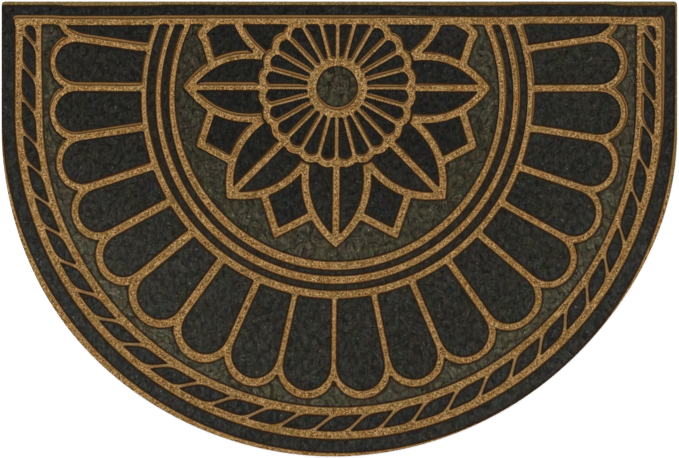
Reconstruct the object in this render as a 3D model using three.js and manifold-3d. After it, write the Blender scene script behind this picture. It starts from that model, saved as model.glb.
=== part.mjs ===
// Outdoor doormat, 914 x 616 mm: a half-round slab of bonded rubber crumb under a printed fibre face.
// The mould that joins the two presses channels into the face and leaves raised pads between them.
// Millimetres, +X along the straight edge, +Y towards it, +Z up, origin under the middle of the mat.

import * as THREE from 'three';
import { mergeVertices } from 'three/addons/utils/BufferGeometryUtils.js';
import Module from 'manifold-3d';

const wasm = await Module();
wasm.setup();

// The whole mat
const WIDTH = 914.4;
const DEPTH = 616;
const BACKING_THICKNESS = 4.7;
const BOND_GAP = 0.3;
const FACE_THICKNESS = 3;
const CHANNEL_DEPTH = 1.8;
const CORNER_RADIUS = 4;

// The trimmed curve is a little slacker than half an ellipse, whose power would be 2. It leans towards -X on
// its way down, because the mat was cut a little off centre
const TRIM_CENTRE_Y = 132.4;
const TRIM_POWER = 1.968;
const TRIM_LEAN = 7.7;
const TRIM_LEAN_START_Y = 81.7;
const TRIM_LEAN_END_Y = -203.9;

// The frame: a pressed rim, a plain band, a straight line along the top, and a rope between two curved lines
const BORDER_X = -1.4;
const RIM_TOP_Y = 302.5;
const FRAME_LINE_Y = 281.7;
const FRAME_LINE_WIDTH = 10.6;
const BAND_EDGE = { halfWidth: 455.3, height: 455.1, centreY: 151.8 };
const ROPE_OUTER = { halfWidth: 433, height: 442.8, centreY: 163.5 };
const ROPE_INNER = { halfWidth: 406.7, height: 413.4, centreY: 166.3 };
const ROPE_LINE_WIDTH = 10.2;
const ROPE_SLANT = 1.15;
const ROPE_CUT_WIDTH = 4.2;
// How far along the rope a few of its cuts lie; the cuts between two of them are evenly spaced
const ROPE_STATIONS = [
  { cut: 0, along: 25 },
  { cut: 3, along: 160 },
  { cut: 4, along: 200 },
  { cut: 6, along: 288 },
  { cut: 7, along: 337 },
  { cut: 12, along: 571 },
  { cut: 14, along: 671 },
  { cut: 17, along: 808 },
  { cut: 19, along: 894 },
  { cut: 27, along: 1271 },
  { cut: 28, along: 1325 },
  { cut: 31, along: 1463 },
  { cut: 33, along: 1544 },
];

// The pressed lines lean towards -X on their way down too, and inside the rope they sit a little turned: how far
// sideways for each millimetre of height, and how far down for each millimetre to the right
const LINE_LEAN = 0.01;
const LINE_TURN = 0.0034;
const ROPE_LEAN = 0.0065;
const ROPE_LEAN_Y = 60;

// The three rings, and the fluted arches that stand on the outer one
const CENTRE_X = -2.9;
const RINGS_Y = 180;
const STRETCH = 1.028;
const RINGS = [
  { radius: 223.7, width: 10 },
  { radius: 242.3, width: 9.4 },
  { radius: 261.7, width: 9.4 },
];
// Degrees from the foot of the mat where each divider leaves the outer ring and where its arches spring
const ARCH_DIVIDERS = [
  { ring: 0, spring: 0 },
  { ring: 11.5, spring: 11.7 },
  { ring: 23.1, spring: 23.4 },
  { ring: 35.3, spring: 35.6 },
  { ring: 47, spring: 48 },
  { ring: 58.1, spring: 59.1 },
  { ring: 69.4, spring: 70.1 },
  { ring: 80.9, spring: 81.1 },
  { ring: 92.2, spring: 91.7 },
  { ring: 103.7, spring: 102.2 },
];
const ARCH_LAST_SPRING = 109.8;
const ARCH_LINE_WIDTH = 9.7;
const ARCH_SPRING_RADIUS = 354.1;
const ARCH_CROWN_RADIUS = 388.7;
const ARCH_CROWN_GAIN = 6.9;

// The medallion: a disc, a daisy of narrow petals, and eight split petals with a kite between each two
const MEDALLION_Y = 191.3;
const MEDALLION_STRETCH = 1.016;
const DISC_RADIUS = 28.3;
const DISC_LINE_WIDTH = 12.2;
const DAISY_PETALS = 24;
const DAISY_RADIUS = 96.5;
const DAISY_BULGE = 6;
const DAISY_LINE_WIDTH = 9.4;
const SPOKE_WIDTH = 5;
const PETALS = 8;
const PETAL_TIP = 201.4;
const PETAL_FOOT_TIP = 206.7;
const PETAL_BASE_RADIUS = 109.8;
const PETAL_BASE_ANGLE = 21.9;
const PETAL_BULGE = 15.8;
const PETAL_LINE_WIDTH = 9.8;
const PETAL_VEIN_WIDTH = 9;
const PETAL_VEIN_TOP_ANGLE = 120;
const KITE_TIP = 198.8;
const KITE_FOOT_TIP = 214.4;
const KITE_SHOULDER_RADIUS = 173;
const KITE_SHOULDER_ANGLE = 10.7;

const RAD = Math.PI / 180;
const FACE_BOTTOM = BACKING_THICKNESS + BOND_GAP;
const FACE_TOP = FACE_BOTTOM + FACE_THICKNESS;
const CHANNEL_FLOOR = FACE_TOP - CHANNEL_DEPTH;

// Straight pieces in each curve, kept few where the curve is short
const TRIM_STEPS = 120;
const BAND_STEPS = 96;
const FRAME_STEPS = 72;
const ROPE_PATH_STEPS = 240;
const RING_STEPS = 84;
const CURVE_STEPS = 10;
const DISC_STEPS = 26;
const DAISY_STEPS = 4;
const CORNER_STEPS = 3;

// How far a cut runs past what it cuts, so that two cuts meet without a sliver between them
const CUT_MARGIN = 1;
const MITRE_LIMIT = 0.5;
const RING_REACH = 125;
const DISC_OVERLAP = 5;
const SPRING_OVERLAP = 3;

function meshSolid(geometry) {
  geometry.deleteAttribute('normal');
  geometry.deleteAttribute('uv');
  const merged = mergeVertices(geometry, 1e-4);
  const mesh = new wasm.Mesh({
    numProp: 3,
    vertProperties: new Float32Array(merged.attributes.position.array),
    triVerts: new Uint32Array(merged.index.array),
  });
  return new wasm.Manifold(mesh);
}

function solidGeometry(solid) {
  const mesh = solid.getMesh();
  const geometry = new THREE.BufferGeometry();
  geometry.setAttribute('position', new THREE.BufferAttribute(new Float32Array(mesh.vertProperties), 3));
  geometry.setIndex(new THREE.BufferAttribute(new Uint32Array(mesh.triVerts), 1));
  geometry.computeVertexNormals();
  return geometry;
}

function prism(points, bottom, top) {
  const shape = new THREE.Shape(points);
  const geometry = new THREE.ExtrudeGeometry(shape, { depth: top - bottom, bevelEnabled: false });
  geometry.translate(0, 0, bottom);
  return meshSolid(geometry);
}

// Half an ellipse that hangs from two straight uprights, from the upper left round to the upper right
function hangingLine({ halfWidth, height, centreY }, topY, pieces) {
  const arc = new THREE.EllipseCurve(BORDER_X, centreY, halfWidth, height, Math.PI, 2 * Math.PI, false);
  return [
    new THREE.Vector2(BORDER_X - halfWidth, topY),
    ...arc.getPoints(pieces),
    new THREE.Vector2(BORDER_X + halfWidth, topY),
  ];
}

function ropeLine(line, pieces) {
  return hangingLine(line, FRAME_LINE_Y, pieces).map(({ x, y }) =>
    new THREE.Vector2(x + ROPE_LEAN * (y - ROPE_LEAN_Y), y));
}

function trimLean(y) {
  return -TRIM_LEAN * THREE.MathUtils.smoothstep(-y, -TRIM_LEAN_START_Y, -TRIM_LEAN_END_Y);
}

function trimOutline() {
  const slack = (value) => Math.sign(value) * Math.abs(value) ** (2 / TRIM_POWER);
  const outline = evenly(Math.PI, 2 * Math.PI, TRIM_STEPS).map((turn) => {
    const y = TRIM_CENTRE_Y + (TRIM_CENTRE_Y + DEPTH / 2) * slack(Math.sin(turn));
    return new THREE.Vector2((WIDTH / 2) * slack(Math.cos(turn)) + trimLean(y), y);
  });
  for (const side of [1, -1]) {
    const corner = new THREE.EllipseCurve(
      side * (WIDTH / 2 - CORNER_RADIUS), DEPTH / 2 - CORNER_RADIUS, CORNER_RADIUS, CORNER_RADIUS,
      side > 0 ? 0 : Math.PI / 2, side > 0 ? Math.PI / 2 : Math.PI, false,
    );
    outline.push(...corner.getPoints(CORNER_STEPS));
  }
  return outline;
}

// A strip of even width along a line of points, mitred at its corners and square at its ends
function strip(points, width) {
  const left = [];
  const right = [];
  points.forEach((point, index) => {
    const before = points[Math.max(index - 1, 0)];
    const after = points[Math.min(index + 1, points.length - 1)];
    const ahead = after.clone().sub(before).normalize();
    const across = new THREE.Vector2(-ahead.y, ahead.x);
    const leg = point === before ? after.clone().sub(point) : point.clone().sub(before);
    const cosine = leg.normalize().dot(ahead);
    const mitre = width / 2 / Math.max(MITRE_LIMIT, cosine);
    left.push(point.clone().addScaledVector(across, mitre));
    right.unshift(point.clone().addScaledVector(across, -mitre));
  });
  return [...left, ...right];
}

// A channel is a cut down to the channel floor, open at the top
function channel(points, width) {
  return prism(strip(points, width), CHANNEL_FLOOR, FACE_TOP + CUT_MARGIN);
}

function joined(solids) {
  return solids.reduce((whole, solid) => whole.add(solid));
}

// A point at an angle from the foot of the mat and a radius, on the upright-stretched circles of the rings
function ringPoint(angle, radius) {
  const across = radius * Math.sin(angle * RAD);
  const down = STRETCH * radius * Math.cos(angle * RAD);
  return new THREE.Vector2(CENTRE_X + across - LINE_LEAN * down, RINGS_Y - down - LINE_TURN * across);
}

function medallionPoint(angle, radius) {
  const across = radius * Math.sin(angle * RAD);
  const down = MEDALLION_STRETCH * radius * Math.cos(angle * RAD);
  return new THREE.Vector2(CENTRE_X + across - LINE_LEAN * down, MEDALLION_Y - down - LINE_TURN * across);
}

function evenly(from, to, pieces) {
  return Array.from({ length: pieces + 1 }, (unused, index) => from + ((to - from) * index) / pieces);
}

function frameChannels() {
  const reach = ROPE_OUTER.halfWidth + ROPE_LINE_WIDTH / 2;
  const topLine = [
    new THREE.Vector2(BORDER_X - reach, FRAME_LINE_Y),
    new THREE.Vector2(BORDER_X + reach, FRAME_LINE_Y),
  ];
  return [
    channel(topLine, FRAME_LINE_WIDTH),
    channel(ropeLine(ROPE_OUTER, FRAME_STEPS), ROPE_LINE_WIDTH),
    channel(ropeLine(ROPE_INNER, FRAME_STEPS), ROPE_LINE_WIDTH),
  ];
}

// How far along the rope each of its cuts lies
function ropePlaces() {
  const places = [ROPE_STATIONS[0].along];
  ROPE_STATIONS.slice(1).forEach((station, index) => {
    const last = ROPE_STATIONS[index];
    places.push(...evenly(last.along, station.along, station.cut - last.cut).slice(1));
  });
  return places;
}

// The slanting cuts that turn the strip between the two curved lines into a rope
function ropeCuts() {
  const middle = {
    halfWidth: (ROPE_OUTER.halfWidth + ROPE_INNER.halfWidth) / 2,
    height: (ROPE_OUTER.height + ROPE_INNER.height) / 2,
    centreY: (ROPE_OUTER.centreY + ROPE_INNER.centreY) / 2,
  };
  const path = new THREE.Path(ropeLine(middle, ROPE_PATH_STEPS));
  const length = path.getLength();
  const halfGap = (ROPE_OUTER.halfWidth - ROPE_INNER.halfWidth) / 2;
  const cuts = [];
  for (const along of ropePlaces()) {
    const place = along / length;
    const centre = path.getPointAt(place);
    const ahead = path.getTangentAt(place);
    const inward = new THREE.Vector2(-ahead.y, ahead.x);
    const slanted = inward.clone().addScaledVector(ahead, ROPE_SLANT).multiplyScalar(halfGap);
    cuts.push(channel([centre.clone().sub(slanted), centre.clone().add(slanted)], ROPE_CUT_WIDTH));
  }
  return cuts;
}

function ringChannels() {
  return RINGS.map(({ radius, width }) =>
    channel(evenly(-RING_REACH, RING_REACH, RING_STEPS).map((angle) => ringPoint(angle, radius)), width));
}

function crownRadius(angle) {
  return ARCH_CROWN_RADIUS + ARCH_CROWN_GAIN * Math.cos(angle * RAD) ** 4;
}

// One rounded arch end between two dividers
function archCrown(from, to) {
  const middle = (from + to) / 2;
  const rise = crownRadius(middle) - ARCH_SPRING_RADIUS;
  const points = evenly(-90, 90, CURVE_STEPS).map((turn) =>
    ringPoint(
      middle + ((to - from) / 2) * Math.sin(turn * RAD),
      ARCH_SPRING_RADIUS + rise * Math.cos(turn * RAD),
    ));
  return channel(points, ARCH_LINE_WIDTH);
}

function archChannels() {
  const outerRing = RINGS[RINGS.length - 1].radius;
  const springs = [...ARCH_DIVIDERS.map((divider) => divider.spring), ARCH_LAST_SPRING];
  const channels = [];
  for (const side of [1, -1]) {
    springs.slice(1).forEach((spring, index) => {
      channels.push(archCrown(side * springs[index], side * spring));
    });
    for (const { ring, spring } of ARCH_DIVIDERS) {
      const foot = ringPoint(side * ring, outerRing);
      const head = ringPoint(side * spring, ARCH_SPRING_RADIUS + SPRING_OVERLAP);
      channels.push(channel([foot, head], ARCH_LINE_WIDTH));
    }
  }
  return channels;
}

// The foot petal and the two kites beside it reach further than the rest
function footShare(angle) {
  return Math.max(0, Math.cos(angle * RAD)) ** 4;
}

// The curved side of a split petal, from its base beside the daisy to its tip
function petalEdge(angle, side, tip) {
  const base = medallionPoint(angle + side * PETAL_BASE_ANGLE, PETAL_BASE_RADIUS);
  const across = tip.clone().sub(base);
  const out = new THREE.Vector2(-across.y, across.x).normalize().multiplyScalar(side * PETAL_BULGE);
  return evenly(0, 1, CURVE_STEPS).map((part) =>
    base.clone().addScaledVector(across, part).addScaledVector(out, 4 * part * (1 - part)));
}

function daisyChannels() {
  const discLine = DISC_RADIUS + DISC_LINE_WIDTH / 2;
  const petalAngle = 360 / DAISY_PETALS;
  const channels = [0, 180].map((start) => {
    const angles = evenly(start - DISC_OVERLAP, start + 180 + DISC_OVERLAP, DISC_STEPS);
    return channel(angles.map((angle) => medallionPoint(angle, discLine)), DISC_LINE_WIDTH);
  });
  for (let petal = 0; petal < DAISY_PETALS; petal += 1) {
    const angle = petal * petalAngle;
    const crown = evenly(0, petalAngle, DAISY_STEPS).map((turn) =>
      medallionPoint(angle + turn, DAISY_RADIUS + DAISY_BULGE * Math.sin((turn / petalAngle) * Math.PI)));
    const spoke = [medallionPoint(angle, discLine), medallionPoint(angle, DAISY_RADIUS)];
    channels.push(channel(spoke, SPOKE_WIDTH));
    channels.push(channel(crown, DAISY_LINE_WIDTH));
  }
  return channels;
}

function petalChannels() {
  const halfPitch = 180 / PETALS;
  const channels = [];
  for (let petal = 0; petal < PETALS; petal += 1) {
    const angle = 2 * halfPitch * petal;
    const tip = medallionPoint(angle, PETAL_TIP + (PETAL_FOOT_TIP - PETAL_TIP) * footShare(angle));
    if (Math.abs(angle - 180) >= 180 - PETAL_VEIN_TOP_ANGLE) {
      channels.push(channel([medallionPoint(angle, DAISY_RADIUS), tip], PETAL_VEIN_WIDTH));
    }
    channels.push(channel([...petalEdge(angle, -1, tip), ...petalEdge(angle, 1, tip).reverse().slice(1)],
      PETAL_LINE_WIDTH));
    const kiteAngle = angle + halfPitch;
    const kite = [
      medallionPoint(kiteAngle - halfPitch + KITE_SHOULDER_ANGLE, KITE_SHOULDER_RADIUS),
      medallionPoint(kiteAngle, KITE_TIP + (KITE_FOOT_TIP - KITE_TIP) * footShare(kiteAngle)),
      medallionPoint(kiteAngle + halfPitch - KITE_SHOULDER_ANGLE, KITE_SHOULDER_RADIUS),
    ];
    channels.push(channel(kite, PETAL_LINE_WIDTH));
  }
  return channels;
}

// Everything inside the frame stops at the straight line along the top and at the inner curved line
function innerField() {
  return prism(ropeLine(ROPE_INNER, FRAME_STEPS), CHANNEL_FLOOR, FACE_TOP + CUT_MARGIN);
}

// The rim outside the plain band is pressed down along the whole edge
function pressedRim() {
  const right = WIDTH / 2 + CORNER_RADIUS;
  const top = DEPTH / 2 + CORNER_RADIUS;
  const around = prism([
    new THREE.Vector2(-right, -top),
    new THREE.Vector2(right, -top),
    new THREE.Vector2(right, top),
    new THREE.Vector2(-right, top),
  ], CHANNEL_FLOOR, FACE_TOP + CUT_MARGIN);
  const raised = hangingLine(BAND_EDGE, RIM_TOP_Y, BAND_STEPS);
  return around.subtract(prism(raised, CHANNEL_FLOOR - CUT_MARGIN, FACE_TOP + 2 * CUT_MARGIN));
}

function rubberBacking() {
  const solid = prism(trimOutline(), 0, BACKING_THICKNESS);
  const crumb = new THREE.MeshStandardMaterial({ color: 0x1d1c1b, roughness: 0.95, metalness: 0 });
  const mesh = new THREE.Mesh(solidGeometry(solid), crumb);
  mesh.name = 'rubber_backing';
  return mesh;
}

function fibreFace() {
  const slab = prism(trimOutline(), FACE_BOTTOM, FACE_TOP);
  const drawing = joined([...ringChannels(), ...archChannels(), ...daisyChannels(), ...petalChannels()]);
  const inside = drawing.intersect(innerField());
  const channels = joined([inside, pressedRim(), ...frameChannels(), ...ropeCuts()]);
  const fibre = new THREE.MeshStandardMaterial({ color: 0x2a2926, roughness: 0.92, metalness: 0 });
  const mesh = new THREE.Mesh(solidGeometry(slab.subtract(channels)), fibre);
  mesh.name = 'fibre_face';
  return mesh;
}

const doormat = new THREE.Group();
doormat.add(rubberBacking(), fibreFace());

export default doormat;
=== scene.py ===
"""Outdoor doormat: a half-round slab of bonded rubber crumb under a printed, pressed fibre face."""

import math

import bmesh
import bpy
import numpy as np
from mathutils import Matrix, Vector, kdtree, noise
from mathutils.geometry import delaunay_2d_cdt


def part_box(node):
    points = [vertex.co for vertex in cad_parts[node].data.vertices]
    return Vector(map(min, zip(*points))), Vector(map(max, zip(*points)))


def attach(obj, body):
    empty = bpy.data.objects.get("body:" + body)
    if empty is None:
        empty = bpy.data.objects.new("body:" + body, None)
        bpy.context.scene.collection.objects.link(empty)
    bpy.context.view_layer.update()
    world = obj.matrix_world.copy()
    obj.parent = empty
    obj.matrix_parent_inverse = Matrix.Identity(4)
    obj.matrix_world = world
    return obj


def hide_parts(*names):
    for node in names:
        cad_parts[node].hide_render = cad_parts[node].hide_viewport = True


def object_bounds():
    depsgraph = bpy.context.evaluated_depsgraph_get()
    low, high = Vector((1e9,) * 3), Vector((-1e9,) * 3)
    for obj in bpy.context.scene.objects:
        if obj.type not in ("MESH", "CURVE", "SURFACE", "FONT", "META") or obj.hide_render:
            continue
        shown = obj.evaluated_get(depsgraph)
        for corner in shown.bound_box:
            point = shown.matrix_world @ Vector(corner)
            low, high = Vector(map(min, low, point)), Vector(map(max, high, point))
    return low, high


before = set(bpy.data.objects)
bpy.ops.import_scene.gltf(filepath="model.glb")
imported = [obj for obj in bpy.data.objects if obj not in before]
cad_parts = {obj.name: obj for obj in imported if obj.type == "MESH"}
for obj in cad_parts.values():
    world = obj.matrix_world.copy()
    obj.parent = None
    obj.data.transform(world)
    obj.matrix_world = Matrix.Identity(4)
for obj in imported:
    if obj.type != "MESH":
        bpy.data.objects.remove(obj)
cad_low, cad_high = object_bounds()


# The backing: one slab of recycled rubber crumb, bonded and hot-pressed in a mould. A knife trims it with the
# face on it, so its side is a rough cut through the crumbs. It lies on the ground, and the face is bonded to it.
MM = 0.001
WELD = 1e-6
LEVEL_GAP = 1e-4
SLAB_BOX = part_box("rubber_backing")
SLAB_RISE = 0.2
SLAB_SPACING = 1.6
SLAB_ROUND = 0.9
SLAB_LAYERS = 4
CRUMB_SIZE = 2.2
CRUMB_DEPTH = 0.35
CORNER_TURN = math.radians(35)


def outlines(node, height):
    """The outlines of a node's faces that look up at a height, in mm and with the faces on their left."""
    shape = bmesh.new()
    shape.from_mesh(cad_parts[node].data)
    bmesh.ops.remove_doubles(shape, verts=shape.verts, dist=WELD)
    shape.normal_update()
    level = [
        face for face in shape.faces
        if face.normal.z > 0.99 and abs(face.calc_center_median().z - height) < LEVEL_GAP
    ]
    # the faces are gone through in the list's order, because a set's order is another in each run
    in_level = set(level)
    ahead = {
        corner.vert: corner.link_loop_next.vert
        for face in level for corner in face.loops
        if not in_level.issuperset(corner.edge.link_faces)
    }
    loops = []
    while ahead:
        start, vertex = next(iter(ahead.items()))
        loop = [start]
        while vertex is not start:
            loop.append(vertex)
            vertex = ahead[vertex]
        for vertex in loop:
            del ahead[vertex]
        loops.append(np.array([vertex.co.xy for vertex in loop]) / MM)
    shape.free()
    return loops


def turning(loop):
    """How far an outline turns to the left at each of its points, in radians."""
    legs = np.roll(loop, -1, axis=0) - loop
    heading = np.arctan2(legs[:, 1], legs[:, 0])
    return (heading - np.roll(heading, 1) + np.pi) % (2 * np.pi) - np.pi


def respaced(loop, spacing, corner=CORNER_TURN):
    """An outline with its points an even spacing apart and its corners kept, and how far it turns at each point."""
    turn = turning(loop)
    corners = np.flatnonzero(np.abs(turn) > corner)
    if len(corners) == 0:
        corners = np.array([0])
    points, turns = [], []
    for first, last in zip(corners, np.append(corners[1:], corners[0] + len(loop))):
        side = np.take(loop, np.arange(first, last + 1), axis=0, mode="wrap")
        along = np.append(0, np.cumsum(np.hypot(*np.diff(side, axis=0).T)))
        count = max(1, round(along[-1] / spacing))
        at = np.linspace(0, along[-1], count, endpoint=False)
        points.append(np.column_stack([np.interp(at, along, side[:, axis]) for axis in (0, 1)]))
        turns.append(np.append(turn[first], np.zeros(count - 1)))
    return np.vstack(points), np.concatenate(turns)


def inward(loop):
    """The unit direction to the left of an outline, which is into its face, at each of its points."""
    along = np.roll(loop, -1, axis=0) - np.roll(loop, 1, axis=0)
    along /= np.hypot(*along.T)[:, None]
    return np.column_stack([-along[:, 1], along[:, 0]])


def finished(mesh_data, material, node):
    """Puts a piece in the scene with its material. It rides on the root and stands for a CAD node."""
    piece = bpy.data.objects.new(mesh_data.name, mesh_data)
    bpy.context.scene.collection.objects.link(piece)
    mesh_data.materials.append(material)
    mesh_data.shade_smooth()
    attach(piece, "root")
    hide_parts(node)
    return piece


def linear(hex_colour):
    """A colour given as sRGB hex, turned to linear, with an alpha of 1."""
    parts = [int(hex_colour[place:place + 2], 16) / 255 for place in (1, 3, 5)]
    return [part / 12.92 if part <= 0.04045 else ((part + 0.055) / 1.055) ** 2.4 for part in parts] + [1]


def add_node(material, kind, inputs, output=0, **settings):
    """Adds a shader node and gives one of its outputs. inputs are outputs to link, hex colours or values."""
    tree = material.node_tree
    node = tree.nodes.new("ShaderNode" + kind)
    for name, value in settings.items():
        setattr(node, name, value)
    for socket, value in inputs.items():
        if isinstance(value, bpy.types.NodeSocket):
            tree.links.new(value, node.inputs[socket])
        else:
            node.inputs[socket].default_value = linear(value) if isinstance(value, str) else value
    return node.outputs[output] if node.outputs else None


def new_material(name):
    """An empty node material, and the place of a point of its object in mm."""
    material = bpy.data.materials.new(name)
    material.use_nodes = True
    material.node_tree.nodes.clear()
    place = add_node(material, "TexCoord", {}, "Object")
    return material, add_node(material, "VectorMath", {0: place, "Scale": 1 / MM}, operation="SCALE")


# Bonded rubber crumb is matt and nearly black. The eye sees grit of 1 to 3 mm, a little greyer where a crumb
# catches the light, with small dark pits between the crumbs. The pits are painted shade that darkens each crumb
# towards its edge.
crumb_rubber, place = new_material("bonded_rubber_crumb")
crumbs = add_node(crumb_rubber, "TexVoronoi", {"Vector": place, "Scale": 1 / CRUMB_SIZE}, "Distance")
crumb_tint = crumbs.node.outputs["Color"]
grit = add_node(crumb_rubber, "TexNoise", {"Vector": place, "Scale": 1.1, "Detail": 3.0})
crumb_shade = add_node(crumb_rubber, "Mix", {0: crumb_tint, 6: "#161514", 7: "#2E2C2A"}, 2, data_type="RGBA")
# painted shade: each crumb is drawn darker towards its edge, in the gaps between crumbs, and the same map lowers the
# bump there
crumb_gap_shade_and_depth = add_node(crumb_rubber, "MapRange", {0: crumbs, 1: 0.35, 2: 0.75, 3: 1.0, 4: 0.45})
crumb_colour = add_node(crumb_rubber, "VectorMath", {0: crumb_shade, "Scale": crumb_gap_shade_and_depth}, operation="SCALE")
crumb_height = add_node(crumb_rubber, "Math", {0: grit, 1: crumb_gap_shade_and_depth}, operation="MULTIPLY")
crumb_bump = add_node(crumb_rubber, "Bump", {"Strength": 0.8, "Distance": 0.5 * MM, "Height": crumb_height})
crumb_surface = add_node(
    crumb_rubber, "BsdfPrincipled",
    {"Base Color": crumb_colour, "Roughness": 0.85, "IOR": 1.52, "Normal": crumb_bump},
)
add_node(crumb_rubber, "OutputMaterial", {"Surface": crumb_surface})


def rubber_slab():
    """The slab: its outline is extruded up in layers, its lower edge is rounded and its side is roughened."""
    bottom, top = SLAB_BOX[0].z, SLAB_BOX[1].z + SLAB_RISE * MM
    trim, unused_turns = respaced(outlines("rubber_backing", SLAB_BOX[1].z)[0], SLAB_SPACING)
    shape = bmesh.new()
    base = shape.faces.new([shape.verts.new((x * MM, y * MM, bottom)) for x, y in trim])
    for unused_layer in range(SLAB_LAYERS):
        raised = bmesh.ops.extrude_face_region(shape, geom=[base])["geom"]
        base = next(part for part in raised if isinstance(part, bmesh.types.BMFace))
        bmesh.ops.translate(shape, verts=base.verts, vec=(0, 0, (top - bottom) / SLAB_LAYERS))
    bmesh.ops.holes_fill(shape, edges=shape.edges)
    bmesh.ops.recalc_face_normals(shape, faces=shape.faces)
    shape.normal_update()
    for vertex in shape.verts:
        if vertex.co.z > top - WELD:
            continue
        outward = Vector((vertex.normal.x, vertex.normal.y, 0)).normalized()
        # the noise runs from -1 to 1, so the cut only takes away
        crumb = noise.noise(vertex.co / (CRUMB_SIZE * MM)) - 1
        rounding = max(0, 1 - vertex.co.z / (SLAB_ROUND * MM)) * SLAB_ROUND / 2
        vertex.co += outward * (crumb * CRUMB_DEPTH / 2 - rounding) * MM
    data = bpy.data.meshes.new("rubber_slab")
    shape.to_mesh(data)
    shape.free()
    return finished(data, crumb_rubber, "rubber_backing")


slab = rubber_slab()


# The face: one sheet of needle-punched fibre, printed and then hot-pressed onto the slab. The mould's ridges press
# it flat and hard in the channels. Between them it stays as raised soft pads with rounded rims.
FACE_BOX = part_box("fibre_face")
CHANNEL_FLOOR = 1.2
PAD_SPACING = 1.9
FINE_SPACING = 0.38
PAD_ROUNDING = 2
LEAF_ROUNDING = 30
LEAF_TIP = math.radians(100)
INNER_ROPE_LINE = {"middle": -1.4, "half_width": 406.7, "height": 413.4, "centre": 166.3}
STRAND_AREA = 1200
TRIM_CLEARANCE = 0.9
# Where the trim runs through a pad, the dark print goes right over the sliver of rim left
PRINT_OVER_RIM = 3
# How the face rises from a channel into a pad, by distance in from the foot of the pad, and which points of the
# foot each ring of points follows
RISE = [
    {"in": -4.2, "up": 0.0, "every": 3},
    {"in": -2.4, "up": 0.0, "every": 2},
    {"in": -1.1, "up": 0.0, "every": 1},
    {"in": 0.0, "up": 0.1, "every": 1},
    {"in": 0.5, "up": 1.05, "every": 1},
    {"in": 1.2, "up": 1.5, "every": 1},
    {"in": 3.2, "up": 1.7, "every": 2},
]
CROWN = {"in": 10.0, "up": 1.8}
# A point of a ring is kept where it is this share of its way off every foot, and this far from the trim
RING_CLEARANCE = 0.94
RING_TO_TRIM = 0.3
# The tops of the pads are a little uneven, in blisters of this size, from the rim of a pad inwards
NAP_SWELL = {"by": 0.07, "size": 9, "from": 0.9, "to": 3}
# How the rim falls to the trimmed edge
RIM_FALL = [{"in": 0.0, "down": 0.35}, {"in": 0.6, "down": 0.06}, {"in": 1.3, "down": 0.0}]
FIELD_SPACING = 6.5
FIELD_MARGIN = 4.6
# The mode of the triangulation that keeps the faces inside the first outline, and when it takes points as one
INSIDE_ONLY = 1
SAME_POINT = 1e-5
# Where the top, the underside and the quads of the side lie in the UV map
MAP_SCALE = 1.07
MAP_SCALE_UNDERSIDE = MAP_SCALE / 2.4
MAP_TOP = Vector((0.01, 0.33))
MAP_UNDERSIDE = Vector((0.01, 0.01))
MAP_CELLS = Vector((0.46, 0.01))
MAP_CELL = 0.006
MAP_COLUMNS = 85
# The web slipped as the mould closed: the print lies to the right of the relief at the upper right, and above
# it at the upper left
PRINT_DRIFT = {
    "right": {"by": 3.0, "x": (150, 330), "y": (60, 220)},
    "up": {"by": 3.0, "x": (0, 200), "y": (30, 190)},
}
# The real lines are uneven, and the CAD's even. By the angle from the foot of the mat, in mm: how much wider than
# drawn the rings, crowns and rope line are, and the dividers between the arches, how far out the crowns lie, and
# how far round clockwise the dividers lie
RINGS_CENTRE = (-2.9, 180.0)
UNEVEN_LINES = [
    {"angle": -100, "rings": -3.1, "dividers": 0.4, "crowns_out": 0.0, "round": -1.2},
    {"angle": -85, "rings": -2.7, "dividers": 0.4, "crowns_out": -3.0, "round": -0.5},
    {"angle": -65, "rings": -0.5, "dividers": 0.0, "crowns_out": -1.0, "round": 0.1},
    {"angle": -48, "rings": 0.4, "dividers": 2.5, "crowns_out": 0.0, "round": 0.7},
    {"angle": -30, "rings": 1.0, "dividers": 1.0, "crowns_out": -1.0, "round": 1.0},
    {"angle": -11, "rings": 0.8, "dividers": -2.6, "crowns_out": 0.0, "round": 1.2},
    {"angle": 0, "rings": 0.8, "dividers": -3.8, "crowns_out": 0.0, "round": 1.1},
    {"angle": 11, "rings": 0.5, "dividers": -2.4, "crowns_out": 0.5, "round": 0.7},
    {"angle": 25, "rings": -0.6, "dividers": -1.0, "crowns_out": 1.0, "round": 0.5},
    {"angle": 41, "rings": -0.9, "dividers": -0.1, "crowns_out": 2.5, "round": 0.6},
    {"angle": 56, "rings": -1.3, "dividers": -1.4, "crowns_out": 3.0, "round": 0.7},
    {"angle": 75, "rings": -2.0, "dividers": -0.6, "crowns_out": 0.0, "round": -0.7},
    {"angle": 100, "rings": -1.5, "dividers": -1.1, "crowns_out": 0.5, "round": -1.2},
]
# How far out from the rings' centre each of these begins and ends, as the ramps that bring it in and take it away
UNEVEN_ZONES = {
    "rings": {"begins": (205, 215), "ends": (424, 432)},
    "dividers": {"begins": (262, 280), "ends": (385, 400)},
    "crowns_out": {"begins": (345, 375), "ends": (396, 406)},
}
# A moved point is kept where it lies nearly its whole move off the outline: this share of it, less this much
MOVE_CLEARANCE = 0.8
MOVE_SLACK = 0.1
# The two uppermost kites droop at their tips, within this reach, and the bar above stays at its height
KITE_TIPS = [{"at": (-190.8, 269.8), "moved": (-1.0, -7.5)}, {"at": (186.5, 268.4), "moved": (1.0, -6.0)}]
DROOP_REACH = 18
UNDER_BAR = 275
# How far off another pad still counts as across the channel
CHANNEL_REACH = 6.0
# How pale the pads are printed, from the darkest to the lighter scrolled grounds, by the area of a pad in mm2.
# The band is the largest of them, and the disc is told from pads of its size by its place.
PAD_TONES = [
    {"over": 1e5, "tone": 0.01},
    {"over": 15000, "tone": 0.65},
    {"over": 4500, "tone": 0.08},
    {"over": 0, "tone": 0.0},
]
DISC = {"centre": (-3, 192), "radius": 15, "tone": 0.97}
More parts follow.
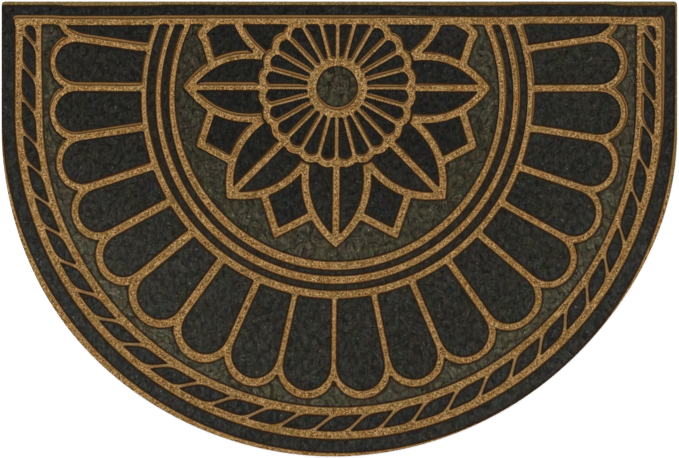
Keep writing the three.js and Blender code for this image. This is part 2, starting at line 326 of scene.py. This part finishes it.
# The dark print is drawn lighter downwards, most at the lower corners, and a little to the upper right
PAD_GRADIENTS = [
    {"towards": (0.0, -1.0), "from": -136, "to": 85, "lighter": 0.59},
    {"towards": (-0.8, -0.6), "from": 0, "to": 800, "lighter": 1.60},
    {"towards": (0.8, 0.6), "from": 100, "to": 395, "lighter": 0.45},
    {"towards": (0.6, -0.8), "from": 170, "to": 500, "lighter": 1.30},
]


def softened(loop, turns, pinned):
    """An outline after its points have moved halfway to the middle of their neighbours, some turns over."""
    for unused_turn in range(turns):
        middle = (np.roll(loop, 1, axis=0) + np.roll(loop, -1, axis=0)) / 2
        loop = np.where(pinned[:, None], loop, (loop + middle) / 2)
    return loop


def area_of(loop):
    """The area inside an outline, in mm2."""
    after = np.roll(loop, -1, axis=0)
    return abs(float(np.sum(loop[:, 0] * after[:, 1] - after[:, 0] * loop[:, 1]) / 2))


def in_rope(loop):
    """Whether a pad is a strand of the rope, which lies outside the frame's inner curved line."""
    x, y = loop.mean(axis=0)
    line = INNER_ROPE_LINE
    drop = max(0, line["centre"] - y)
    beyond = math.hypot((x - line["middle"]) / line["half_width"], drop / line["height"]) > 1
    return beyond and area_of(loop) < STRAND_AREA


def ramp(values, low, high):
    """0 below low and 1 above high, with a smooth rise between."""
    part = np.clip((values - low) / (high - low), 0, 1)
    return part * part * (3 - 2 * part)


def print_drift(points):
    """How far the print has crept over the relief at each point, in mm."""
    x, y = points.T
    right, up = PRINT_DRIFT["right"], PRINT_DRIFT["up"]
    rightwards = right["by"] * ramp(x, *right["x"]) * ramp(y, *right["y"])
    upwards = up["by"] * ramp(y, *up["y"]) * (1 - ramp(x, *up["x"]))
    return np.column_stack([rightwards, upwards])


def wall_moves(points, into):
    """How far each wall of a pad lies further into the pad than it was drawn, in mm."""
    out = points - RINGS_CENTRE
    radius = np.hypot(*out.T)
    out /= radius[:, None]
    angle = np.degrees(np.arctan2(out[:, 0], -out[:, 1]))
    rings, dividers, crowns_out, turned = (
        np.interp(angle, [row["angle"] for row in UNEVEN_LINES], [row[name] for row in UNEVEN_LINES])
        for name in ("rings", "dividers", "crowns_out", "round")
    )
    facing = np.sum(into * out, axis=1)
    sideways = into[:, 0] * out[:, 1] - into[:, 1] * out[:, 0]
    here = {
        name: ramp(radius, *zone["begins"]) * (1 - ramp(radius, *zone["ends"]))
        for name, zone in UNEVEN_ZONES.items()
    }
    move = here["rings"] * facing ** 2 * rings / 2
    move += here["dividers"] * (sideways ** 2 * dividers / 2 + sideways * turned)
    move += here["crowns_out"] * facing * crowns_out
    return move


def uneven(loop):
    """A pad's outline after its walls have moved and the kites have drooped. Points that a move takes past the far
    side of the pad drop out."""
    into = inward(loop)
    move = wall_moves(loop, into)
    moved = loop + move[:, None] * into
    clear = distance_in([loop], moved)[0] * np.sign(move)
    moved = moved[clear > MOVE_CLEARANCE * np.abs(move) - MOVE_SLACK]
    for tip in KITE_TIPS:
        droop = 1 - np.clip(np.hypot(*(moved - tip["at"]).T) / DROOP_REACH, 0, 1)
        droop *= 1 - np.clip((moved[:, 1] - tip["at"][1]) / (UNDER_BAR - tip["at"][1]), 0, 1)
        moved = moved + droop[:, None] * np.array(tip["moved"])
    return moved


def pad_tone(loop):
    """How pale a pad is printed."""
    if np.hypot(*(loop.mean(axis=0) - DISC["centre"])) < DISC["radius"]:
        return DISC["tone"]
    return next(step["tone"] for step in PAD_TONES if area_of(loop) > step["over"])


def tree_of(points):
    """A search tree of points in the plane."""
    tree = kdtree.KDTree(len(points))
    for index, (x, y) in enumerate(points):
        tree.insert((x, y, 0), index)
    tree.balance()
    return tree


def nearest(among, points):
    """For each point, which of the others is nearest to it and how far it is."""
    tree = tree_of(among)
    found = [tree.find((x, y, 0)) for x, y in points]
    return np.array([hit[1] for hit in found]), np.array([hit[2] for hit in found])


def channel_widths(pads):
    """How wide the channel is beside each point of the feet, by how far off the nearest other pad is."""
    feet = np.vstack(pads)
    pad_of = np.repeat(np.arange(len(pads)), [len(pad) for pad in pads])
    tree = tree_of(feet)
    widths = []
    for (x, y), own in zip(feet, pad_of):
        near = tree.find_range((x, y, 0), CHANNEL_REACH)
        widths.append(min((hit[2] for hit in near if pad_of[hit[1]] != own), default=CHANNEL_REACH))
    return np.array(widths)


def distance_in(loops, points):
    """How far each point is in from the outlines, less than 0 outside, and the direction inwards there."""
    into = np.vstack([inward(loop) for loop in loops])
    loops = np.vstack(loops)
    index, distance = nearest(loops, points)
    side = np.sum((points - loops[index]) * into[index], axis=1)
    return distance * np.sign(side), into[index]


def pad_outlines(trim):
    """The foot of each raised pad, with corners as round as pressed fibre makes them, and how far each point of it
    was moved in to clear the trim."""
    pads, moved = [], []
    for loop in outlines("fibre_face", FACE_BOX[1].z):
        points, turns = respaced(loop, PAD_SPACING)
        if in_rope(loop):
            points = softened(points, LEAF_ROUNDING, turns > LEAF_TIP)
        points = uneven(softened(points, PAD_ROUNDING, np.zeros(len(points), bool)))
        points -= print_drift(points) / 2
        depth, into = distance_in([trim], points)
        short = np.clip(TRIM_CLEARANCE - depth, 0, None)
        pads.append(points + short[:, None] * into)
        moved.append(short)
    return pads, np.concatenate(moved)


def face_points(trim, pads):
    """Every point of the face's top seen from above, how far it is into a pad, and the direction inwards there. The
    points are the trim, the feet of the pads, the rings of points that carry the rise beside each foot, and an even
    field of points between them."""
    feet = np.vstack(pads)
    into = np.vstack([inward(pad) for pad in pads])
    fine = [respaced(pad, FINE_SPACING, corner=math.tau)[0] for pad in pads]
    kept = [trim, feet]
    for step in RISE:
        ring = (feet + step["in"] * into)[::step["every"]]
        clear = np.sign(step["in"]) * distance_in(fine, ring)[0] > RING_CLEARANCE * abs(step["in"])
        kept.append(ring[clear & (distance_in([trim], ring)[0] > RING_TO_TRIM)])
    kept.append(trim + RIM_FALL[1]["in"] * inward(trim))
    low, high = trim.min(axis=0), trim.max(axis=0)
    across = np.arange(low[0], high[0], FIELD_SPACING)
    rows = np.arange(low[1], high[1], FIELD_SPACING * math.sqrt(0.75))
    field = np.array([(x + (row % 2) * FIELD_SPACING / 2, y) for row, y in enumerate(rows) for x in across])
    field = field[distance_in([trim], field)[0] > FIELD_MARGIN]
    kept.append(field[np.abs(distance_in(fine, field)[0]) > FIELD_MARGIN])
    points = np.vstack(kept)
    depth, side = distance_in(fine, points)
    depth[len(trim):len(trim) + len(feet)] = 0
    return points, depth, side


def lay_out(shape):
    """The face's UV map: its top, its underside smaller below that, and each quad of its side in a cell beside it."""
    layer = shape.loops.layers.uv.new("OFBake")
    low = FACE_BOX[0]
    quads = 0
    # the quads of the side are the only faces with four corners, and the underside is one face with many
    for side in shape.faces:
        if len(side.verts) == 4:
            column, row = quads % MAP_COLUMNS, quads // MAP_COLUMNS
            quads += 1
            start = side.verts[0].co.xy
            for corner in side.loops:
                along = (corner.vert.co.xy - start).length, corner.vert.co.z - low.z
                corner[layer].uv = MAP_CELLS + Vector((column, row)) * MAP_CELL + Vector(along) * MAP_SCALE
            continue
        for corner in side.loops:
            over = (corner.vert.co - low).xy
            if len(side.verts) == 3:
                corner[layer].uv = MAP_TOP + over * MAP_SCALE
            else:
                corner[layer].uv = MAP_UNDERSIDE + over * MAP_SCALE_UNDERSIDE


def fibre_sheet(material):
    """The face: its top is triangulated with its relief in it, its rim is extruded down and its underside filled.
    Its points carry what the material needs to know of the pads."""
    trim, unused_turns = respaced(outlines("rubber_backing", SLAB_BOX[1].z)[0], PAD_SPACING)
    pads, moved = pad_outlines(trim)
    points, depth, side = face_points(trim, pads)

    steps = RISE + [CROWN]
    up = np.interp(depth, [step["in"] for step in steps], [step["up"] for step in steps])
    to_trim = nearest(trim, points)[1]
    down = np.interp(to_trim, [step["in"] for step in RIM_FALL], [step["down"] for step in RIM_FALL])
    down[depth > 0] = 0
    sunk = np.array([1 - noise.noise(Vector((x, y, 0)) / NAP_SWELL["size"]) for x, y in points])
    down += NAP_SWELL["by"] * ramp(depth, NAP_SWELL["from"], NAP_SWELL["to"]) * sunk
    height = FACE_BOX[0].z / MM + CHANNEL_FLOOR + up - down

    foot, unused_distance = nearest(np.vstack(pads), points)
    printed = depth - np.sum(side * print_drift(points), axis=1) + PRINT_OVER_RIM * moved[foot]
    tone = np.repeat([pad_tone(pad) for pad in pads], [len(pad) for pad in pads])[foot]
    faded = np.ones(len(points))
    for fade in PAD_GRADIENTS:
        faded += fade["lighter"] * ramp(points @ fade["towards"], fade["from"], fade["to"])
    width = channel_widths(pads)[foot]

    # bmesh has no operator that fills nested outlines through given points, so the top is triangulated here
    edges, start = [], 0
    for loop in [trim] + pads:
        edges += [(start + step, start + (step + 1) % len(loop)) for step in range(len(loop))]
        start += len(loop)
    flat = [Vector(point) for point in points]
    made, unused_edges, faces, sources = delaunay_2d_cdt(flat, edges, [], INSIDE_ONLY, SAME_POINT)[:4]
    source = [given[0] if given else 0 for given in sources]
    data = bpy.data.meshes.new("fibre_face_sheet")
    data.from_pydata([(x * MM, y * MM, height[given] * MM) for (x, y), given in zip(made, source)], [], faces)
    traits = {
        "pad_depth": depth, "print_depth": printed, "pad_tone": tone, "faded": faded, "channel_width": width,
    }
    for name, values in traits.items():
        layer = data.attributes.new(name, "FLOAT", "POINT")
        layer.data.foreach_set("value", values[source].astype(np.float32))

    shape = bmesh.new()
    shape.from_mesh(data)
    bmesh.ops.recalc_face_normals(shape, faces=shape.faces)
    rim = [edge for edge in shape.edges if edge.is_boundary]
    skirt = bmesh.ops.extrude_edge_only(shape, edges=rim)["geom"]
    for part in skirt:
        if isinstance(part, bmesh.types.BMVert):
            part.co.z = FACE_BOX[0].z
    bmesh.ops.contextual_create(shape, geom=[edge for edge in shape.edges if edge.is_boundary])
    bmesh.ops.recalc_face_normals(shape, faces=shape.faces)
    if max(shape.faces, key=lambda side: len(side.verts)).normal.z > 0:
        bmesh.ops.reverse_faces(shape, faces=shape.faces)
    lay_out(shape)
    shape.to_mesh(data)
    shape.free()
    piece = finished(data, material, "fibre_face")
    return piece


# Needle-punched polyester, printed and heat-set. The pads stay soft, matt and nearly black: the eye sees a mottled
# nap with faint ribs and, on the grounds, a paler half-seen leaf scroll. The channels are pressed hard: tan grains
# with orange and olive blots, paler along their edges, painted browner as shade at the foot of each wall, and with a
# nearly black line of painted shade up each wall.
printed_fibre, place = new_material("printed_needle_punched_fibre")
pad_depth, print_depth, tone, faded, channel_width = (
    add_node(printed_fibre, "Attribute", {}, "Fac", attribute_name=name)
    for name in ("pad_depth", "print_depth", "pad_tone", "faded", "channel_width")
)
# The size of each kind of blot, in mm. The grains and the tufts of the nap are really 0.2 to 1 mm. They are drawn at
# 2 to 5 mm, which is as fine as a picture of the whole mat can show, and only the fuzz is the real size of a tuft.
BLOTS = {
    "fuzz": 0.5, "grain": 1.8, "pit": 1.8, "orange": 11, "olive": 17, "pale": 22, "nap": 4.6, "ragged": 1.3,
    "creep": 16, "warp": 15, "tint": 14,
}
blots = {
    name: add_node(
        printed_fibre, "TexNoise",
        {"Vector": place, "W": 7.3 * seed, "Scale": 1 / size, "Detail": 2.0, "Roughness": 0.6},
        noise_dimensions="4D",
    )
    for seed, (name, size) in enumerate(BLOTS.items())
}
GRAIN_SIZE = 1.7
grains = add_node(printed_fibre, "TexVoronoi", {"Vector": place, "Scale": 1 / GRAIN_SIZE}, "Color")
chance = add_node(printed_fibre, "SeparateColor", {0: grains}).node.outputs

# The channels: tan grains, light or dark by chance, with blots of rust and olive and some pale grains
tan_light = add_node(printed_fibre, "Math", {0: chance[0], 1: 0.24, 2: blots["grain"]}, operation="MULTIPLY_ADD")
tan_light = add_node(printed_fibre, "MapRange", {0: tan_light, 1: 0.44, 2: 0.80}, interpolation_type="SMOOTHSTEP")
tan = add_node(printed_fibre, "Mix", {0: tan_light, 6: "#4D3010", 7: "#AA834D"}, 2, data_type="RGBA")
for amount, low, high, most, colour in (
    (blots["pit"], 0.56, 0.66, 0.70, "#432608"),
    (blots["orange"], 0.50, 0.64, 0.30, "#8F561F"),
    (blots["olive"], 0.45, 0.62, 0.30, "#6C5F30"),
    (chance[1], 0.84, 0.92, 0.60, "#D0AC7C"),
):
    share = add_node(
        printed_fibre, "MapRange", {0: amount, 1: low, 2: high, 3: 0.0, 4: most}, interpolation_type="SMOOTHSTEP",
    )
    tan = add_node(printed_fibre, "Mix", {0: share, 6: tan, 7: colour}, 2, data_type="RGBA")
pale_in = add_node(printed_fibre, "MapRange", {0: pad_depth, 1: -2.3, 2: -1.6}, interpolation_type="SMOOTHSTEP")
pale_out = add_node(
    printed_fibre, "MapRange", {0: pad_depth, 1: -1.1, 2: -0.7, 3: 1.0, 4: 0.0}, interpolation_type="SMOOTHSTEP",
)
pale_here = add_node(
    printed_fibre, "MapRange", {0: blots["pale"], 1: 0.4, 2: 0.6, 3: 0.15, 4: 0.65}, interpolation_type="SMOOTHSTEP",
)
pale = add_node(printed_fibre, "Math", {0: pale_in, 1: pale_out}, operation="MULTIPLY")
pale = add_node(printed_fibre, "Math", {0: pale, 1: pale_here}, operation="MULTIPLY")
tan = add_node(printed_fibre, "Mix", {0: pale, 6: tan, 7: "#B39268"}, 2, data_type="RGBA")
# A channel as narrow as a cut of the rope has its tan drawn thinner and duller
narrow = add_node(printed_fibre, "MapRange", {0: channel_width, 1: 3.9, 2: 5.2, 3: 1.0, 4: 0.0})
dull = add_node(printed_fibre, "Math", {0: narrow, 1: 0.6}, operation="MULTIPLY")
tan = add_node(printed_fibre, "Mix", {0: dull, 6: tan, 7: "#84765A"}, 2, data_type="RGBA")
# The rim was printed olive along the top and on the right
across = add_node(printed_fibre, "SeparateXYZ", {0: place})
along = across.node.outputs[1]
top_rim = add_node(printed_fibre, "MapRange", {0: along, 1: 299.0, 2: 302.0, 3: 0.0, 4: 0.65})
right_rim = add_node(printed_fibre, "MapRange", {0: across, 1: 446.0, 2: 450.0, 3: 0.0, 4: 0.65})
olive_rim = add_node(printed_fibre, "Math", {0: top_rim, 1: right_rim}, operation="MAXIMUM")
tan = add_node(printed_fibre, "Mix", {0: olive_rim, 6: tan, 7: "#5F5430"}, 2, data_type="RGBA")

# The tonal scroll: soft curls that wind out from their middles, this way or that, and over them bent leaves, turned
# every way, each with a midrib and veins
CURLS = {"spacing": 30.0, "pitch": 9.5, "fade": (0.02, 0.16), "shift": (17.0, 5.0, 0.0)}
LEAVES = [
    {"spacing": 36.0, "half_length": 16.0, "half_width": 6.0, "bend": 0.030, "shift": (0.0, 0.0, 0.0)},
    {"spacing": 25.0, "half_length": 11.0, "half_width": 4.4, "bend": 0.045, "shift": (43.0, 71.0, 0.0)},
]
VEIN_SPACING = 4.6
# How far from even rows the motifs are scattered, of 1
SCATTER = 0.7
warped = add_node(
    printed_fibre, "VectorMath", {0: blots["warp"].node.outputs["Color"], 1: (14.0, 14.0, 0.0), 2: place},
    operation="MULTIPLY_ADD",
)


shifted = add_node(printed_fibre, "VectorMath", {0: warped, 1: CURLS["shift"]})
scattered = {"Vector": shifted, "Scale": 1 / CURLS["spacing"], "Randomness": SCATTER}
middle = add_node(printed_fibre, "TexVoronoi", scattered, "Position", voronoi_dimensions="2D")
by_motif = add_node(printed_fibre, "SeparateColor", {0: middle.node.outputs["Color"]}).node.outputs
way = add_node(printed_fibre, "VectorMath", {0: shifted, 1: middle}, operation="SUBTRACT")
way_across = add_node(printed_fibre, "SeparateXYZ", {0: way})
hand = add_node(printed_fibre, "Math", {0: by_motif[0], 1: 0.5}, operation="SUBTRACT")
hand = add_node(printed_fibre, "Math", {0: hand}, operation="SIGN")
bearing = add_node(
    printed_fibre, "Math", {0: way_across.node.outputs[1], 1: way_across}, operation="ARCTAN2",
)
bearing = add_node(printed_fibre, "Math", {0: by_motif[1], 1: math.tau, 2: bearing}, operation="MULTIPLY_ADD")
bearing = add_node(printed_fibre, "Math", {0: bearing, 1: hand}, operation="MULTIPLY")
reach = add_node(printed_fibre, "VectorMath", {0: way}, "Value", operation="LENGTH")
wound = add_node(
    printed_fibre, "Math", {0: reach, 1: math.tau / CURLS["pitch"], 2: bearing}, operation="MULTIPLY_ADD",
)
curl = add_node(printed_fibre, "Math", {0: wound}, operation="SINE")
to_border = add_node(
    printed_fibre, "TexVoronoi", scattered, "Distance", voronoi_dimensions="2D", feature="DISTANCE_TO_EDGE",
)
curl_here = add_node(
    printed_fibre, "MapRange", {0: to_border, 1: CURLS["fade"][0], 2: CURLS["fade"][1]},
    interpolation_type="SMOOTHSTEP",
)
scroll = add_node(printed_fibre, "Math", {0: curl, 1: curl_here}, operation="MULTIPLY")
scroll = add_node(printed_fibre, "Math", {0: scroll, 1: 0.8, 2: -0.25}, operation="MULTIPLY_ADD")
for leaf in LEAVES:
    shifted = add_node(printed_fibre, "VectorMath", {0: place, 1: leaf["shift"]})
    scattered = {"Vector": shifted, "Scale": 1 / leaf["spacing"], "Randomness": SCATTER}
    middle = add_node(printed_fibre, "TexVoronoi", scattered, "Position", voronoi_dimensions="2D")
    by_motif = add_node(printed_fibre, "SeparateColor", {0: middle.node.outputs["Color"]}).node.outputs
    way = add_node(printed_fibre, "VectorMath", {0: shifted, 1: middle}, operation="SUBTRACT")
    turn = add_node(printed_fibre, "Math", {0: by_motif[0], 1: 2 * math.tau}, operation="MULTIPLY")
    turned = add_node(printed_fibre, "VectorRotate", {"Vector": way, "Angle": turn}, rotation_type="Z_AXIS")
    lengthways = add_node(printed_fibre, "SeparateXYZ", {0: turned})
    crossways = lengthways.node.outputs[1]
    square = add_node(printed_fibre, "Math", {0: lengthways, 1: lengthways}, operation="MULTIPLY")
    off_midrib = add_node(
        printed_fibre, "Math", {0: square, 1: -leaf["bend"], 2: crossways}, operation="MULTIPLY_ADD",
    )
    off_midrib = add_node(printed_fibre, "Math", {0: off_midrib}, operation="ABSOLUTE")
    half_width = add_node(
        printed_fibre, "Math",
        {0: square, 1: -leaf["half_width"] / leaf["half_length"] ** 2, 2: leaf["half_width"]},
        operation="MULTIPLY_ADD",
    )
    inside = add_node(printed_fibre, "Math", {0: half_width, 1: off_midrib}, operation="SUBTRACT")
    body = add_node(printed_fibre, "MapRange", {0: inside, 1: 0.0, 2: 1.6}, interpolation_type="SMOOTHSTEP")
    veins = add_node(printed_fibre, "Math", {0: lengthways, 1: off_midrib})
    veins = add_node(printed_fibre, "Math", {0: veins, 1: math.tau / VEIN_SPACING}, operation="MULTIPLY")
    veins = add_node(printed_fibre, "Math", {0: veins}, operation="SINE")
    veins = add_node(printed_fibre, "Math", {0: veins, 1: 0.3, 2: 0.75}, operation="MULTIPLY_ADD")
    midrib = add_node(printed_fibre, "MapRange", {0: off_midrib, 1: 0.3, 2: 1.4, 3: 1.2, 4: 0.0})
    veins = add_node(printed_fibre, "Math", {0: veins, 1: midrib}, operation="SUBTRACT")
    outline = add_node(printed_fibre, "Math", {0: inside}, operation="ABSOLUTE")
    outline = add_node(
        printed_fibre, "MapRange", {0: outline, 1: 0.2, 2: 2.2, 3: -0.8, 4: 0.0}, interpolation_type="SMOOTHSTEP",
    )
    scroll = add_node(printed_fibre, "Mix", {0: body, 2: scroll, 3: veins})
    scroll = add_node(printed_fibre, "Math", {0: scroll, 1: outline})
scroll_depth = add_node(printed_fibre, "Math", {0: tone, 1: 0.22, 2: 0.26}, operation="MULTIPLY_ADD")
scroll = add_node(printed_fibre, "Math", {0: scroll, 1: scroll_depth, 2: 1.0}, operation="MULTIPLY_ADD")

# The pads: the print's tone, and what the nap, the tufts and the needling's ribs make of it. The ribs run down the
# mat, about 2.6 mm wide and 12 mm long.
RIBS_PER_MM = (1 / 2.6, 1 / 12, 1.0)
ribbed = add_node(printed_fibre, "VectorMath", {0: warped, 1: RIBS_PER_MM}, operation="MULTIPLY")
ribs = add_node(printed_fibre, "TexNoise", {"Vector": ribbed, "Scale": 1.0, "Detail": 1.0})
dark = add_node(printed_fibre, "Mix", {0: tone, 6: "#1C1C19", 7: "#3A3627"}, 2, data_type="RGBA")
# the dark print is drawn lighter towards the bottom, the lower corners and the upper right
dark = add_node(printed_fibre, "VectorMath", {0: dark, "Scale": faded}, operation="SCALE")
dark = add_node(printed_fibre, "VectorMath", {0: dark, "Scale": scroll}, operation="SCALE")
tint = add_node(
    printed_fibre, "VectorMath",
    {0: blots["tint"].node.outputs["Color"], 1: (0.65, 0.45, 0.95), 2: (0.68, 0.78, 0.54)}, operation="MULTIPLY_ADD",
)
dark = add_node(printed_fibre, "VectorMath", {0: dark, 1: tint}, operation="MULTIPLY")
for amount, low, high, least, most in (
    (blots["nap"], 0.30, 0.70, 0.50, 1.50),
    (blots["fuzz"], 0.3, 0.7, 0.8, 1.2),
    (ribs, 0.34, 0.66, 0.75, 1.25),
    (chance[2], 0.0, 1.0, 0.88, 1.12),
    (chance[1], 0.991, 0.995, 1.0, 2.8),
):
    shade = add_node(printed_fibre, "MapRange", {0: amount, 1: low, 2: high, 3: least, 4: most})
    dark = add_node(printed_fibre, "VectorMath", {0: dark, "Scale": shade}, operation="SCALE")

# Where they meet: the dark print begins at the foot of a pad, and its edge is warm brown. The tan is painted browner
# towards the foot of each wall, and the steep wall nearly black, as shade. Where the print has crept, tan shows on
# the pad as a duller second line.
ragged = add_node(printed_fibre, "Math", {0: blots["ragged"], 1: 1.6, 2: -0.8}, operation="MULTIPLY_ADD")
print_edge = add_node(printed_fibre, "Math", {0: print_depth, 1: ragged})
print_edge = add_node(printed_fibre, "Math", {0: narrow, 1: 0.4, 2: print_edge}, operation="MULTIPLY_ADD")
wall_edge = add_node(printed_fibre, "Math", {0: pad_depth, 1: ragged})
creep_reach = add_node(
    printed_fibre, "MapRange", {0: print_edge, 1: 0.6, 2: 3.2, 3: 1.0, 4: 0.0}, interpolation_type="SMOOTHSTEP",
)
creep_here = add_node(
    printed_fibre, "MapRange", {0: blots["creep"], 1: 0.4, 2: 0.6, 3: 0.05, 4: 0.7}, interpolation_type="SMOOTHSTEP",
)
creep = add_node(printed_fibre, "Math", {0: creep_reach, 1: creep_here}, operation="MULTIPLY")
dark = add_node(printed_fibre, "Mix", {0: creep, 6: dark, 7: "#2E1F0D"}, 2, data_type="RGBA")
dark_edge = add_node(
    printed_fibre, "MapRange", {0: print_edge, 1: 0.8, 2: 4.6, 3: 0.80, 4: 0.0}, interpolation_type="SMOOTHSTEP",
)
dark = add_node(printed_fibre, "Mix", {0: dark_edge, 6: dark, 7: "#2A1B08"}, 2, data_type="RGBA")
# painted shade: the tan turns brown towards the foot of each wall
foot_shade = add_node(printed_fibre, "MapRange", {0: wall_edge, 1: -1.7, 2: -0.5, 3: 0.0, 4: 0.75})
tan = add_node(printed_fibre, "Mix", {0: foot_shade, 6: tan, 7: "#5E3C16"}, 2, data_type="RGBA")
on_pad = add_node(printed_fibre, "MapRange", {0: wall_edge, 1: 0.6, 2: 1.6, 3: 0.0, 4: 0.60})
tan = add_node(printed_fibre, "Mix", {0: on_pad, 6: tan, 7: "#86653C"}, 2, data_type="RGBA")
printed = add_node(printed_fibre, "MapRange", {0: print_edge, 1: 0.0, 2: 0.8}, interpolation_type="SMOOTHSTEP")
cloth = add_node(printed_fibre, "Mix", {0: printed, 6: tan, 7: dark}, 2, data_type="RGBA")
# painted shade: the steep wall between channel and pad is drawn nearly black
wall_foot = add_node(printed_fibre, "MapRange", {0: wall_edge, 1: -0.7, 2: 0.1}, interpolation_type="SMOOTHSTEP")
wall_head = add_node(
    printed_fibre, "MapRange", {0: wall_edge, 1: 0.7, 2: 1.9, 3: 0.92, 4: 0.0}, interpolation_type="SMOOTHSTEP",
)
wall_shade = add_node(printed_fibre, "Math", {0: wall_foot, 1: wall_head}, operation="MULTIPLY")
wall_shade_here = add_node(printed_fibre, "MapRange", {0: printed, 3: 0.30, 4: 0.85})
wall_shade = add_node(printed_fibre, "Math", {0: wall_shade, 1: wall_shade_here}, operation="MULTIPLY")
cloth = add_node(printed_fibre, "Mix", {0: wall_shade, 6: cloth, 7: "#1A0F04"}, 2, data_type="RGBA")

loft = add_node(printed_fibre, "Math", {0: blots["nap"], 1: 0.9, 2: blots["grain"]}, operation="MULTIPLY_ADD")
loft = add_node(printed_fibre, "Math", {0: blots["fuzz"], 1: 0.35, 2: loft}, operation="MULTIPLY_ADD")
fibre_bump = add_node(printed_fibre, "Bump", {"Strength": 0.6, "Distance": 0.3 * MM, "Height": loft})
fibre_surface = add_node(
    printed_fibre, "BsdfPrincipled",
    {
        "Base Color": cloth, "Roughness": 0.92, "IOR": 1.46, "Specular IOR Level": 0.04, "Normal": fibre_bump,
        "Sheen Weight": 0.03, "Sheen Roughness": 0.6,
    },
)
add_node(printed_fibre, "OutputMaterial", {"Surface": fibre_surface})

face = fibre_sheet(printed_fibre)


# The setting: a plain white floor that glows a little, so that the mat stands on it with hardly any shadow, soft
# light from above, and a camera that looks straight down, as in the photograph.
FRAME_PIXELS = (679, 458)
MM_PER_PIXEL = 1.35246
VIEW_CENTRE = (0.24, -0.07)
LENS = 120
SENSOR = 36
FLOOR_HALF_WIDTH = 4
FLOOR_DROP = 0.5
FLOOR_GLOW = 0.35
SKY_STRENGTH = 0.9
KEY_SIZE = (1.6, 1.0)
KEY_WATTS = 16
KEY_PLACE = (-0.5, 1.3, 1.5)

pale_floor, place = new_material("pale_floor")
floor_surface = add_node(
    pale_floor, "BsdfPrincipled",
    {"Base Color": "#FFFFFF", "Roughness": 0.9, "Emission Color": "#FFFFFF", "Emission Strength": FLOOR_GLOW},
)
add_node(pale_floor, "OutputMaterial", {"Surface": floor_surface})
floor_shape = bmesh.new()
bmesh.ops.create_grid(floor_shape, x_segments=1, y_segments=1, size=FLOOR_HALF_WIDTH)
bmesh.ops.translate(floor_shape, verts=floor_shape.verts, vec=(0, 0, -FLOOR_DROP * MM))
floor_data = bpy.data.meshes.new("floor")
floor_shape.to_mesh(floor_data)
floor_shape.free()
floor_data.materials.append(pale_floor)
floor = bpy.data.objects.new("floor", floor_data)
bpy.context.scene.collection.objects.link(floor)

world = bpy.data.worlds.new("studio")
world.use_nodes = True
world.node_tree.nodes["Background"].inputs["Color"].default_value = (1, 1, 1, 1)
world.node_tree.nodes["Background"].inputs["Strength"].default_value = SKY_STRENGTH
bpy.context.scene.world = world

key = bpy.data.lights.new("key", "AREA")
key.shape = "RECTANGLE"
key.size, key.size_y = KEY_SIZE
key.energy = KEY_WATTS
key_light = bpy.data.objects.new("key", key)
key_light.location = KEY_PLACE
key_light.rotation_euler = (-key_light.location).to_track_quat("-Z", "Y").to_euler()
bpy.context.scene.collection.objects.link(key_light)

camera_data = bpy.data.cameras.new("camera")
camera_data.lens = LENS
camera_data.sensor_width = SENSOR
camera = bpy.data.objects.new("camera", camera_data)
camera_height = FRAME_PIXELS[0] * MM_PER_PIXEL * MM * LENS / SENSOR
camera.location = (VIEW_CENTRE[0] * MM, VIEW_CENTRE[1] * MM, cad_high.z + camera_height)
bpy.context.scene.collection.objects.link(camera)
bpy.context.scene.camera = camera
bpy.context.scene.view_settings.view_transform = "Standard"
